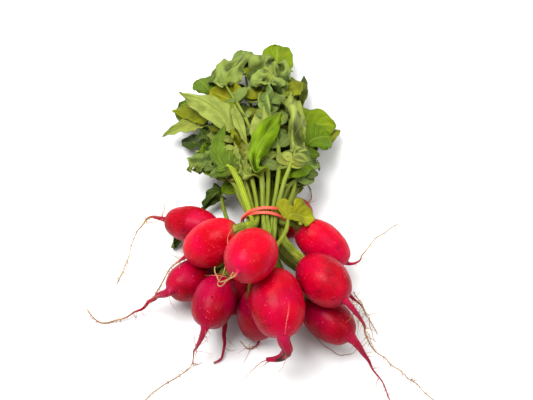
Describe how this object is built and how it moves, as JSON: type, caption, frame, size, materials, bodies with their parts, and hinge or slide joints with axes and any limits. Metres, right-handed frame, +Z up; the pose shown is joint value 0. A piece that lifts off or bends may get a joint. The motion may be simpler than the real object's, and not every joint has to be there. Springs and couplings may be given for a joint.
{
  "type": "bunch of radishes",
  "caption": "Bunch of red radishes lying down, round roots fanned out with thin curling taproots, leafy tops gathered at the neck by a rubber band.",
  "frame": {"origin": "middle of the footprint, on the surface that the bunch lies on", "axes": "+Z up, away from the surface; +Y from the roots towards the leaves; +X to the right when looking down with the leaves away from the viewer"},
  "size_m": [0.2488, 0.3134, 0.0982],
  "materials": {
    "radish_skin": "moist satin red skin",
    "leaf": "matt soft green leaf and stalk",
    "band": "smooth salmon rubber"
  },
  "bodies": {
    "root": {"radish_01": "radish_skin", "radish_02": "radish_skin", "radish_03": "radish_skin", "radish_04": "radish_skin", "radish_05": "radish_skin", "radish_06": "radish_skin", "radish_07": "radish_skin", "radish_08": "radish_skin", "radish_09": "radish_skin", "radish_10": "radish_skin", "radish_11": "radish_skin", "radish_12": "radish_skin", "radish_13": "radish_skin", "leaves_01": "leaf", "leaves_02": "leaf", "leaves_03": "leaf", "leaves_04": "leaf", "leaves_05": "leaf", "leaves_06": "leaf", "leaves_07": "leaf", "leaves_08": "leaf", "leaves_09": "leaf", "leaves_10": "leaf", "leaves_11": "leaf", "leaves_12": "leaf", "leaves_13": "leaf", "rubber_band": "band"}
  },
  "joints": []
}
